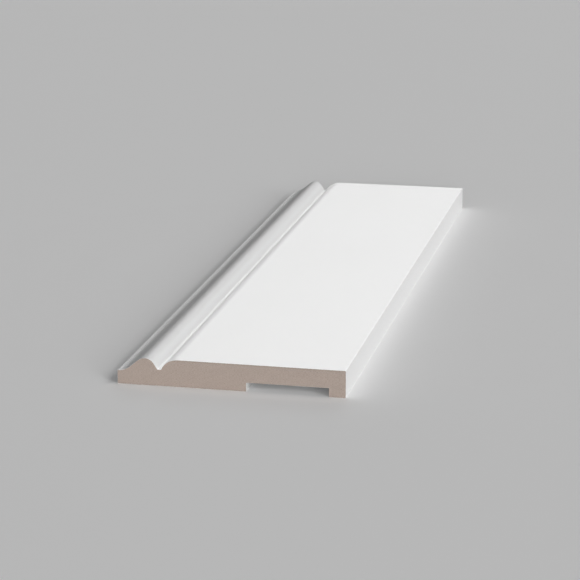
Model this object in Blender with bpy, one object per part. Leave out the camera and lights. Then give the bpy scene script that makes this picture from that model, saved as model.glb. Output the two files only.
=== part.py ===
"""A length of moulded skirting board, lying on its back with its painted face up. Metres, +Z up.

The origin is in the middle of the back, on the surface that the board lies on. +X runs across the board, from
its moulded top edge to its square floor edge. +Y runs along its length, and +Z points out of its face.
"""

from math import asin, atan2, cos, degrees, hypot, radians, sin, tan

import bpy

# The board. Places across it are measured from its top edge, and thicknesses from its back.
BOARD_WIDTH = 0.150
BOARD_THICKNESS = 0.018
BOARD_LENGTH = 0.550

# The thin top edge, and the cove that rises from a narrow shelf on it
TOP_EDGE_THICKNESS = 0.009
SHELF_WIDTH = 0.0005
COVE_RADIUS = 0.012

# The bead, whose crest stands level with the flat face
BEAD_RADIUS = 0.007
BEAD_CREST = 0.0183
BEAD_FLANK_SLOPE = 58

# The quirk, a narrow groove behind the bead, and the rounded shoulder up to the flat face
QUIRK_THICKNESS = 0.0109
SHOULDER_RADIUS = 0.012
SHOULDER_TOP = 0.040

# The slightly rounded corner between the flat face and the square floor edge
ARRIS_RADIUS = 0.0006

# The channel along the back, which leaves a narrow foot at the floor edge
CHANNEL_START = 0.0853
CHANNEL_WIDTH = 0.0538
CHANNEL_DEPTH = 0.006

# The angle between neighbouring points on a round stretch, in degrees
ARC_STEP = 4

PAINT_COLOUR = (0.83, 0.83, 0.83, 1.0)
PAINT_ROUGHNESS = 0.4


def arc(centre, radius, start, end):
    """The points on a circle round centre, from one angle to another in degrees."""
    steps = max(2, round(abs(end - start) / ARC_STEP))
    angles = [radians(start + (end - start) * step / steps) for step in range(steps + 1)]
    return [(centre[0] + radius * cos(angle), centre[1] + radius * sin(angle)) for angle in angles]


def moulding():
    """The moulded stretch of the section, from the top edge to the flat face."""
    cove_centre = (SHELF_WIDTH, TOP_EDGE_THICKNESS + COVE_RADIUS)
    bead_centre = (BEAD_CREST, BOARD_THICKNESS - BEAD_RADIUS)
    shoulder_centre = (SHOULDER_TOP, BOARD_THICKNESS - SHOULDER_RADIUS)

    # The cove passes into the bead along the straight line that touches both circles.
    across = bead_centre[0] - cove_centre[0]
    up = bead_centre[1] - cove_centre[1]
    slope = degrees(atan2(up, across) + asin((COVE_RADIUS + BEAD_RADIUS) / hypot(across, up)))
    cove = arc(cove_centre, COVE_RADIUS, -90, slope - 90)
    bead = arc(bead_centre, BEAD_RADIUS, slope + 90, 90 - BEAD_FLANK_SLOPE)

    # The bead's flank runs straight down to the floor of the quirk.
    flank_x, flank_z = bead[-1]
    quirk_x = flank_x + (flank_z - QUIRK_THICKNESS) / tan(radians(BEAD_FLANK_SLOPE))

    # The shoulder's circle is cut off where it meets that floor.
    quirk_rise = QUIRK_THICKNESS - shoulder_centre[1]
    shoulder_start = 180 - degrees(asin(quirk_rise / SHOULDER_RADIUS))
    shoulder = arc(shoulder_centre, SHOULDER_RADIUS, shoulder_start, 90)
    return [(0, TOP_EDGE_THICKNESS), *cove, *bead, (quirk_x, QUIRK_THICKNESS), *shoulder]


def floor_edge():
    """The corner of the flat face and the square floor edge, and that edge down to the back."""
    centre = (BOARD_WIDTH - ARRIS_RADIUS, BOARD_THICKNESS - ARRIS_RADIUS)
    return [*arc(centre, ARRIS_RADIUS, 90, 0), (BOARD_WIDTH, 0)]


def back():
    """The back, from the foot across the channel to the top edge."""
    channel_end = CHANNEL_START + CHANNEL_WIDTH
    return [
        (channel_end, 0),
        (channel_end, CHANNEL_DEPTH),
        (CHANNEL_START, CHANNEL_DEPTH),
        (CHANNEL_START, 0),
        (0, 0),
    ]


def outline_curve(name, points, thickness):
    """A flat outline on the curve's own XY plane, filled and made solid along its Z axis."""
    curve = bpy.data.curves.new(name, "CURVE")
    curve.dimensions = "2D"
    curve.fill_mode = "BOTH"
    curve.extrude = thickness / 2
    spline = curve.splines.new("POLY")
    spline.points.add(len(points) - 1)
    for point, (x, y) in zip(spline.points, points):
        point.co = (x, y, 0, 1)
    spline.use_cyclic_u = True
    return curve


def paint(name, colour, roughness):
    """The satin white paint that covers the long sides."""
    material = bpy.data.materials.new(name)
    material.use_nodes = True
    shader = material.node_tree.nodes["Principled BSDF"]
    shader.inputs["Base Color"].default_value = colour
    shader.inputs["Roughness"].default_value = roughness
    shader.inputs["Metallic"].default_value = 0
    return material


def skirting_board():
    """The whole board, with its section standing up and its length along Y."""
    section = [*moulding(), *floor_edge(), *back()]
    centred = [(x - BOARD_WIDTH / 2, z) for x, z in section]
    board = bpy.data.objects.new("skirting_board", outline_curve("board_section", centred, BOARD_LENGTH))
    board.rotation_euler = (radians(90), 0, 0)
    board.data.materials.append(paint("white_paint", PAINT_COLOUR, PAINT_ROUGHNESS))
    return board


for leftover in list(bpy.data.objects):
    bpy.data.objects.remove(leftover)

collection = bpy.data.collections.new("skirting_board")
bpy.context.scene.collection.children.link(collection)
collection.objects.link(skirting_board())
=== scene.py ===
from math import asin, atan2, cos, hypot, pi, radians, sin, sqrt, tan

import bmesh
import bpy
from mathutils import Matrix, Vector


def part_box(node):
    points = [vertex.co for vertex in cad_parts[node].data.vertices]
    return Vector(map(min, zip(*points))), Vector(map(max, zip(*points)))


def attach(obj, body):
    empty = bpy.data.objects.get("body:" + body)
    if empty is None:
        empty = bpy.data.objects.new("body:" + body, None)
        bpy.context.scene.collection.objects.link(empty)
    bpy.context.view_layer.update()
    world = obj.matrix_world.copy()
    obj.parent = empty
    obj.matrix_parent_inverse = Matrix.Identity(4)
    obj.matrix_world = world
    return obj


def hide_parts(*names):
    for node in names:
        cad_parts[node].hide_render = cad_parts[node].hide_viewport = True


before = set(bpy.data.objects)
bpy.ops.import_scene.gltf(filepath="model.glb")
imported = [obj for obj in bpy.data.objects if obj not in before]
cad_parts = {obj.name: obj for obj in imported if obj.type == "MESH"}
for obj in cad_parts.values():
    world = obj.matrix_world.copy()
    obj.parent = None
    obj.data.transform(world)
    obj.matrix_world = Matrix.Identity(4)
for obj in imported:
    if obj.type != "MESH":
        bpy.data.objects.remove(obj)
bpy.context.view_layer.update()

# The skirting board
# One length of MDF. Shaped cutters run the cove, the bead and the quirk along its top edge and the channel
# along its back. It is sprayed white on its long sides, then sawn square to length.
# Metres: places across it are measured from its top edge, and thicknesses from its back.
TOP_EDGE_THICKNESS = 0.009
SHELF_WIDTH = 0.0005
COVE_RADIUS = 0.012
BEAD_RADIUS = 0.007
BEAD_CREST = 0.0183
BEAD_FLANK_SLOPE = radians(58)
QUIRK_THICKNESS = 0.0109
SHOULDER_RADIUS = 0.012
SHOULDER_TOP = 0.040
FLOOR_ARRIS_RADIUS = 0.0006
CHANNEL_START = 0.0853
CHANNEL_WIDTH = 0.0538
CHANNEL_DEPTH = 0.006
ARC_STEP = radians(1.5)
WIDEST_ROUND_STRIP = 0.0008

# The paint rounds each long corner a little, and its cut edge shows as a white line round the sawn ends.
CORNER_ROUNDING = 0.00025
CORNER_SEGMENTS = 4
CORNER_TURN = radians(25)
PAINT_FILM = 0.00008

board_low, board_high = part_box("skirting_board")
board_width = board_high.x - board_low.x
board_length = board_high.y - board_low.y
board_thickness = board_high.z - board_low.z


def on_near_end(across, thickness):
    """A point of the near end's outline, which is followed clockwise from the back of the top edge."""
    return Vector((board_low.x + across, board_low.y, board_low.z + thickness))


def run_straight(board, last, across, thickness):
    """Carries the outline on in a straight line."""
    grown = bmesh.ops.extrude_vert_indiv(board, verts=[last])["verts"][0]
    grown.co = on_near_end(across, thickness)
    return grown


def run_round(board, last, centre, turn):
    """Carries the outline on round a circle, clockwise where turn is positive."""
    spun = bmesh.ops.spin(
        board,
        geom=[last],
        cent=on_near_end(*centre),
        axis=(0, 1, 0),
        angle=turn,
        steps=max(2, round(abs(turn) / ARC_STEP)),
        use_merge=False,
    )
    return next(item for item in spun["geom_last"] if isinstance(item, bmesh.types.BMVert))


def run_moulding(board, last):
    """The shelf, the cove, the bead, the quirk and the shoulder, as far as the flat face."""
    cove_centre = (SHELF_WIDTH, TOP_EDGE_THICKNESS + COVE_RADIUS)
    bead_centre = (BEAD_CREST, board_thickness - BEAD_RADIUS)
    across = bead_centre[0] - cove_centre[0]
    up = bead_centre[1] - cove_centre[1]
    slope = atan2(up, across) + asin((COVE_RADIUS + BEAD_RADIUS) / hypot(across, up))
    last = run_straight(board, last, SHELF_WIDTH, TOP_EDGE_THICKNESS)
    last = run_round(board, last, cove_centre, -slope)

    # The cove passes into the bead along the straight line that touches both circles.
    bead_start = bead_centre[0] - BEAD_RADIUS * sin(slope)
    last = run_straight(board, last, bead_start, bead_centre[1] + BEAD_RADIUS * cos(slope))
    last = run_round(board, last, bead_centre, slope + BEAD_FLANK_SLOPE)

    # The bead's flank runs straight down to the floor of the quirk, and the shoulder rises from it.
    flank_drop = bead_centre[1] + BEAD_RADIUS * cos(BEAD_FLANK_SLOPE) - QUIRK_THICKNESS
    flank_foot = bead_centre[0] + BEAD_RADIUS * sin(BEAD_FLANK_SLOPE) + flank_drop / tan(BEAD_FLANK_SLOPE)
    shoulder_centre = (SHOULDER_TOP, board_thickness - SHOULDER_RADIUS)
    quirk_rise = QUIRK_THICKNESS - shoulder_centre[1]
    shoulder_reach = sqrt(SHOULDER_RADIUS**2 - quirk_rise**2)
    last = run_straight(board, last, flank_foot, QUIRK_THICKNESS)
    last = run_straight(board, last, SHOULDER_TOP - shoulder_reach, QUIRK_THICKNESS)
    return run_round(board, last, shoulder_centre, atan2(shoulder_reach, quirk_rise))


def run_back(board, last):
    """The square floor edge, the foot, the channel and the wide land beside it."""
    arris_centre = (board_width - FLOOR_ARRIS_RADIUS, board_thickness - FLOOR_ARRIS_RADIUS)
    channel_end = CHANNEL_START + CHANNEL_WIDTH
    last = run_straight(board, last, arris_centre[0], board_thickness)
    last = run_round(board, last, arris_centre, pi / 2)
    last = run_straight(board, last, board_width, 0)
    last = run_straight(board, last, channel_end, 0)
    last = run_straight(board, last, channel_end, CHANNEL_DEPTH)
    last = run_straight(board, last, CHANNEL_START, CHANNEL_DEPTH)
    return run_straight(board, last, CHANNEL_START, 0)


def machine_board():
    """The outline, drawn out to the board's length, with its long corners rounded by the paint."""
    board = bmesh.new()
    first = bmesh.ops.create_vert(board, co=on_near_end(0, 0))["vert"][0]
    last = run_straight(board, first, 0, TOP_EDGE_THICKNESS)
    last = run_moulding(board, last)
    last = run_back(board, last)
    board.edges.new((last, first))
    bmesh.ops.contextual_create(board, geom=board.edges[:])
    drawn = bmesh.ops.extrude_face_region(board, geom=board.faces[:])["geom"]
    far_end = [item for item in drawn if isinstance(item, bmesh.types.BMVert)]
    bmesh.ops.translate(board, verts=far_end, vec=(0, board_length, 0))
    bmesh.ops.recalc_face_normals(board, faces=board.faces[:])
    long_edges = [edge for edge in board.edges if edge.calc_length() > board_length / 2]
    bmesh.ops.bevel(
        board,
        geom=[edge for edge in long_edges if edge.calc_face_angle() > CORNER_TURN],
        offset=CORNER_ROUNDING,
        offset_type="OFFSET",
        segments=CORNER_SEGMENTS,
        profile=0.5,
        affect="EDGES",
        material=-1,
    )
    return board


def lies_behind(face):
    """True on the two lands of the back, and on the walls and floor of the channel between them."""
    middle = face.calc_center_median()
    channel_middle = board_low.x + CHANNEL_START + CHANNEL_WIDTH / 2
    by_channel = abs(middle.x - channel_middle) < CHANNEL_WIDTH / 2 + CORNER_ROUNDING
    return face.normal.z < -0.5 or by_channel and middle.z < board_low.z + CHANNEL_DEPTH


def share_out_finishes(board, paint, primer, sawn):
    """Gives each face the number of its finish. The rim of a sawn end is the cut edge of the paint.

    Only the narrow strips of the round stretches are shaded smooth, and never across the edge of a flat face.
    """
    ends = [face for face in board.faces if abs(face.normal.y) > 0.5]
    for face in board.faces:
        face.material_index = primer if lies_behind(face) else paint
        face.smooth = face.calc_area() < WIDEST_ROUND_STRIP * board_length
    for face in ends:
        face.material_index = paint
        face.smooth = False
    bmesh.ops.inset_individual(board, faces=ends, thickness=PAINT_FILM, use_even_offset=True)
    for face in ends:
        face.material_index = sawn
    for edge in board.edges:
        edge.smooth = all(face.smooth for face in edge.link_faces)


# No two corners of the board are level in this slanting direction.
NUMBERING_WAY = Vector((1, 100, 10))


def number_by_place(board):
    """Numbers the corners, edges and faces by where they lie, so that every run numbers them alike."""
    board.verts.sort(key=lambda corner: corner.co.dot(NUMBERING_WAY))
    board.edges.sort(key=lambda edge: (edge.verts[0].co + edge.verts[1].co).dot(NUMBERING_WAY))
    board.faces.sort(key=lambda face: face.calc_center_median().dot(NUMBERING_WAY))


class Varying:
    """A value that changes over a surface, held by one socket of a finish's nodes."""

    def __init__(self, socket):
        self.socket = socket
        self.tree = socket.id_data

    def node(self, kind, settings, inputs, output=0):
        """Adds a node to the same finish, with its settings and the values or links of its sockets."""
        made = self.tree.nodes.new(kind)
        for name, value in settings.items():
            setattr(made, name, value)
        for name, value in inputs.items():
            feed(made.inputs[name], value)
        return Varying(made.outputs[output])

    def maths(self, operation, first, second=0.0):
        return self.node("ShaderNodeMath", {"operation": operation}, {0: first, 1: second})

    def __add__(self, other):
        return self.maths("ADD", self, other)

    def __sub__(self, other):
        return self.maths("SUBTRACT", self, other)

    def __rsub__(self, other):
        return self.maths("SUBTRACT", other, self)

    def __mul__(self, other):
        return self.maths("MULTIPLY", self, other)

    def __abs__(self):
        return self.maths("ABSOLUTE", self)

    __radd__ = __add__
    __rmul__ = __mul__


def feed(socket, value):
    """Links a varying value to a socket, or sets a plain one on it."""
    if isinstance(value, Varying):
        socket.id_data.links.new(value.socket, socket)
    else:
        socket.default_value = value


def start_finish(name):
    """A material, its shader and the place, in metres, that its patterns are laid out by."""
    material = bpy.data.materials.new(name)
    material.use_nodes = True
    nodes = material.node_tree.nodes
    place = Varying(nodes.new("ShaderNodeTexCoord").outputs["Object"])
    return material, nodes["Principled BSDF"], place


def grain(place, size, detail=2.0, seed=0.0):
    """Noise from 0 to 1 whose blotches are about size long along X, Y and Z, in metres."""
    scale = [1 / length for length in size]
    inputs = {"Vector": place, "Scale": scale, "Location": (seed, 0, 0)}
    laid_out = place.node("ShaderNodeMapping", {}, inputs)
    return place.node("ShaderNodeTexNoise", {}, {"Vector": laid_out, "Scale": 1.0, "Detail": detail})


def between(value, low, high):
    """Rises smoothly from 0 at low to 1 at high. It falls instead where low is above high."""
    inputs = {"Value": value, "From Min": low, "From Max": high}
    return value.node("ShaderNodeMapRange", {"interpolation_type": "SMOOTHSTEP"}, inputs)


def mix(share, first, second):
    """The first colour where share is 0 and the second where it is 1."""
    inputs = {0: share, 6: first, 7: second}
    return share.node("ShaderNodeMix", {"data_type": "RGBA"}, inputs, output=2)


def relief(shader, height, depth):
    """Raises the surface by depth, in metres, where height is 1."""
    inputs = {"Height": height, "Distance": depth, "Strength": 1.0}
    feed(shader.inputs["Normal"], height.node("ShaderNodeBump", {}, inputs))


def distance_from_corner(place, across, thickness):
    """How far a point of the section is from one of its long corners."""
    section = place.node("ShaderNodeVectorMath", {"operation": "MULTIPLY"}, {0: place, 1: (1, 0, 1)})
    corner = (board_low.x + across, 0, board_low.z + thickness)
    inputs = {0: section, 1: corner}
    return section.node("ShaderNodeVectorMath", {"operation": "DISTANCE"}, inputs, output=1)


# The bare MDF
# Pressed wood fibre, open on the sawn ends: short fibres that lie level with the faces, dark specks of bark,
# a tighter and darker band under each face, and the arcs left by the saw.
FIBRE = (0.421, 0.347, 0.303, 1)
FIBRE_DARK = (0.247, 0.2, 0.172, 1)
BARK = (0.13, 0.09, 0.062, 1)
FIBRE_SIZE = (0.0011, 0.001, 0.0003)
CLUMP_SIZE = (0.006, 0.01, 0.002)
SPECK_SIZE = (0.0007, 0.001, 0.0003)
FIBRE_DEPTH = 0.00006
TIGHT_BAND = 0.0018
SAW_CENTRE = (0.03, 0, -0.11)
SAW_PITCH = 0.0013


def saw_end():
    material, shader, place = start_finish("bare_mdf")
    height = place.node("ShaderNodeSeparateXYZ", {}, {0: place}, output="Z")
    middle = board_low.z + board_thickness / 2
    tight = between(abs(height - middle), board_thickness / 2 - TIGHT_BAND, board_thickness / 2)

    fibres = grain(place, FIBRE_SIZE, detail=4)
    clumps = grain(place, CLUMP_SIZE, seed=5)
    from_saw = place.node(
        "ShaderNodeVectorMath", {"operation": "DISTANCE"}, {0: place, 1: SAW_CENTRE}, output=1
    )
    arcs = from_saw.maths("SINE", from_saw * (2 * pi / SAW_PITCH) + clumps * 6)
    shade = between(fibres, 0.35, 0.65) * 0.6 + clumps * 0.3 + tight * 0.3 + arcs * 0.03
    colour = mix(shade - 0.3, FIBRE, FIBRE_DARK)
    specks = grain(place, SPECK_SIZE, detail=1, seed=11)
    colour = mix(between(specks, 0.74, 0.8) * 0.6, colour, BARK)
    feed(shader.inputs["Base Color"], colour)
    feed(shader.inputs["Roughness"], 0.95 - tight * 0.12)
    relief(shader, fibres * (1 - tight * 0.5) + arcs * 0.06, FIBRE_DEPTH)
    return material


# The white paint
# A satin finish sprayed over sealed MDF: faintly pebbled, thin in places where it draws back from the long
# corners, and nicked by the saw along its cut edge. On the moulding the cutter's marks show through it.
WHITE = (0.835, 0.835, 0.835, 1)
WHITE_SHADE = (0.815, 0.815, 0.812, 1)
THIN_WHITE = (0.74, 0.715, 0.69, 1)
PAINT_ROUGHNESS = 0.45
PAINT_GLOSS = 0.35
PEEL_SIZE = 0.0022
PEEL_DEPTH = 0.000016
CUTTER_STREAK = 0.00035
CUTTER_PITCH = 0.0016
TONE_SIZE = (0.05, 0.12, 0.05)
CORNER_WEAR = 0.0008
WEAR_SIZE = (0.004, 0.02, 0.004)
SAW_NICK = 0.0005
NICK_SIZE = (0.0012, 0.0012, 0.0012)


def spray_white():
    material, shader, place = start_finish("white_paint")
    shader.inputs["Specular IOR Level"].default_value = PAINT_GLOSS
    across = place.node("ShaderNodeSeparateXYZ", {}, {0: place}, output="X")
    along = place.node("ShaderNodeSeparateXYZ", {}, {0: place}, output="Y")

    # Worn paint along the four long corners that hands and tools reach
    corners = ((0, 0), (0, TOP_EDGE_THICKNESS), (board_width, board_thickness), (board_width, 0))
    nearest = distance_from_corner(place, *corners[0])
    for corner in corners[1:]:
        nearest = place.maths("MINIMUM", nearest, distance_from_corner(place, *corner))
    patches = grain(place, WEAR_SIZE)
    wear = between(nearest, CORNER_WEAR, CORNER_WEAR / 4) * between(patches, 0.45, 0.7)
    colour = mix(grain(place, TONE_SIZE), WHITE_SHADE, WHITE)
    colour = mix(wear * 0.6, colour, THIN_WHITE)

    # Nicks in its cut edge, down to the fibre
    from_end = board_high.y - abs(along)
    nicks = grain(place, NICK_SIZE, detail=4, seed=3) * SAW_NICK
    colour = mix(between(nicks - from_end, SAW_NICK * 0.44, SAW_NICK * 0.54), colour, FIBRE)
    feed(shader.inputs["Base Color"], colour)

    # The spray's pebbles, and on the moulding the cutter's streaks and the even marks of its turns
    peel = grain(place, (PEEL_SIZE, PEEL_SIZE, PEEL_SIZE), detail=1)
    feed(shader.inputs["Roughness"], PAINT_ROUGHNESS - 0.04 + peel * 0.08)
    moulded = between(across, board_low.x + SHOULDER_TOP + 0.001, board_low.x + SHOULDER_TOP - 0.001)
    streaks = grain(place, (CUTTER_STREAK, 0.3, CUTTER_STREAK))
    chatter = along.maths("SINE", along * (2 * pi / CUTTER_PITCH))
    relief(shader, peel + moulded * (streaks * 0.3 + chatter * 0.05), PEEL_DEPTH)
    return material


# The primer on the back and in the channel
# One thin rolled coat, sanded along the length and left patchy, because it faces the wall.
PRIMER = (0.79, 0.79, 0.785, 1)
PRIMER_THICK = (0.825, 0.825, 0.82, 1)
PATCH_SIZE = (0.03, 0.09, 0.03)
SANDING_SCRATCH = (0.0006, 0.25, 0.0006)
ROLLER_STIPPLE = (0.0015, 0.0015, 0.0015)
STIPPLE_DEPTH = 0.00002


def prime_back():
    material, shader, place = start_finish("white_primer")
    sanding = grain(place, SANDING_SCRATCH)
    patches = grain(place, PATCH_SIZE, seed=7)
    colour = mix(patches, PRIMER, PRIMER_THICK)
    colour = mix(between(sanding * patches, 0.3, 0.45) * 0.35, colour, THIN_WHITE)
    feed(shader.inputs["Base Color"], colour)
    feed(shader.inputs["Roughness"], 0.55 + sanding * 0.12)
    relief(shader, sanding + grain(place, ROLLER_STIPPLE), STIPPLE_DEPTH)
    return material


board_mesh = bpy.data.meshes.new("moulded_board")
finishes = [spray_white(), prime_back(), saw_end()]
machined = machine_board()
share_out_finishes(machined, paint=0, primer=1, sawn=2)
number_by_place(machined)
machined.to_mesh(board_mesh)
machined.free()
for finish in finishes:
    board_mesh.materials.append(finish)
moulded_board = bpy.data.objects.new("moulded_board", board_mesh)
bpy.context.scene.collection.objects.link(moulded_board)
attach(moulded_board, "root")
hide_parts("skirting_board")

# The floor
# A plain pale matt surface that the board lies on, wide enough to fill the view from any side.
FLOOR_REACH = 20
FLOOR_PALE = (0.88, 0.88, 0.88, 1)
FLOOR_CLOUD = (0.87, 0.87, 0.87, 1)


def lay_floor():
    material, shader, place = start_finish("pale_floor")
    feed(shader.inputs["Base Color"], mix(grain(place, (0.4, 0.4, 0.4)), FLOOR_CLOUD, FLOOR_PALE))
    feed(shader.inputs["Roughness"], 0.8)
    surface = bmesh.new()
    bmesh.ops.create_circle(surface, cap_ends=True, radius=FLOOR_REACH, segments=96)
    mesh = bpy.data.meshes.new("pale_floor")
    surface.to_mesh(mesh)
    surface.free()
    mesh.materials.append(material)
    floor = bpy.data.objects.new("pale_floor", mesh)
    bpy.context.scene.collection.objects.link(floor)


lay_floor()

# The light
# Soft boxes too far off for their distance to matter: the main one on the right, one low by the camera for
# the sawn end, and weaker ones high on the right and behind. Gridded boxes hang close over the flat face and
# over the top edge, and light little else. The backdrop is grey at the horizon and dim above it.
def stand_far_box(name, azimuth, elevation, width, strength):
    """Places in degrees: azimuth 0 is out from the near end and 90 out from the floor edge."""
    light = bpy.data.lights.new(name, "SUN")
    light.energy = strength
    light.angle = radians(width)
    box = bpy.data.objects.new(name, light)
    box.rotation_euler = (radians(90 - elevation), 0, radians(azimuth))
    bpy.context.scene.collection.objects.link(box)


stand_far_box("main_box", azimuth=50, elevation=20, width=25, strength=1.3)
stand_far_box("end_box", azimuth=12, elevation=12, width=16, strength=1.2)
stand_far_box("high_box", azimuth=95, elevation=45, width=25, strength=0.75)
stand_far_box("back_box", azimuth=180, elevation=30, width=25, strength=0.28)

GRID_BOX_HEIGHT = 0.05
GRID_SPREAD = radians(2.5)


def hang_grid_box(name, start, end, strength):
    """A box over the whole length of the board, and over the places across it from start to end.

    Its strength is in watts for each metre across the board.
    """
    light = bpy.data.lights.new(name, "AREA")
    light.shape = "RECTANGLE"
    light.size = end - start
    light.size_y = board_length
    light.spread = GRID_SPREAD
    light.energy = strength * light.size
    box = bpy.data.objects.new(name, light)
    box.location = (board_low.x + (start + end) / 2, 0, GRID_BOX_HEIGHT)
    box.visible_camera = False
    box.visible_glossy = False
    bpy.context.scene.collection.objects.link(box)


hang_grid_box("face_box", start=0.0264, end=board_width, strength=0.88)
hang_grid_box("top_edge_box", start=0, end=0.004, strength=0.225)

HORIZON_GREY = (0.4, 0.4, 0.4, 1)
OVERHEAD_GREY = (0.1, 0.1, 0.1, 1)


def hang_backdrop():
    world = bpy.data.worlds.new("backdrop")
    world.use_nodes = True
    nodes = world.node_tree.nodes
    direction = Varying(nodes.new("ShaderNodeTexCoord").outputs["Generated"])
    height = direction.node("ShaderNodeSeparateXYZ", {}, {0: direction}, output="Z")
    above_horizon = between(height, sin(radians(4)), sin(radians(14)))
    feed(nodes["Background"].inputs["Color"], mix(above_horizon, HORIZON_GREY, OVERHEAD_GREY))
    bpy.context.scene.world = world


hang_backdrop()
bpy.context.scene.view_settings.view_transform = "Standard"

# The camera
# It looks along the board from beyond its near end, from a little above and to the right, at the angles of
# the photograph.
CAMERA_PLACE = (0.30906, -1.52933, 0.41534)
CAMERA_ELEVATION = radians(15.111)
CAMERA_AZIMUTH = radians(12.154)
camera_lens = bpy.data.cameras.new("camera")
camera_lens.sensor_width = 36
camera_lens.lens = 131.5
camera = bpy.data.objects.new("camera", camera_lens)
camera.location = CAMERA_PLACE
camera.rotation_euler = (pi / 2 - CAMERA_ELEVATION, 0, CAMERA_AZIMUTH)
bpy.context.scene.collection.objects.link(camera)
bpy.context.scene.camera = camera
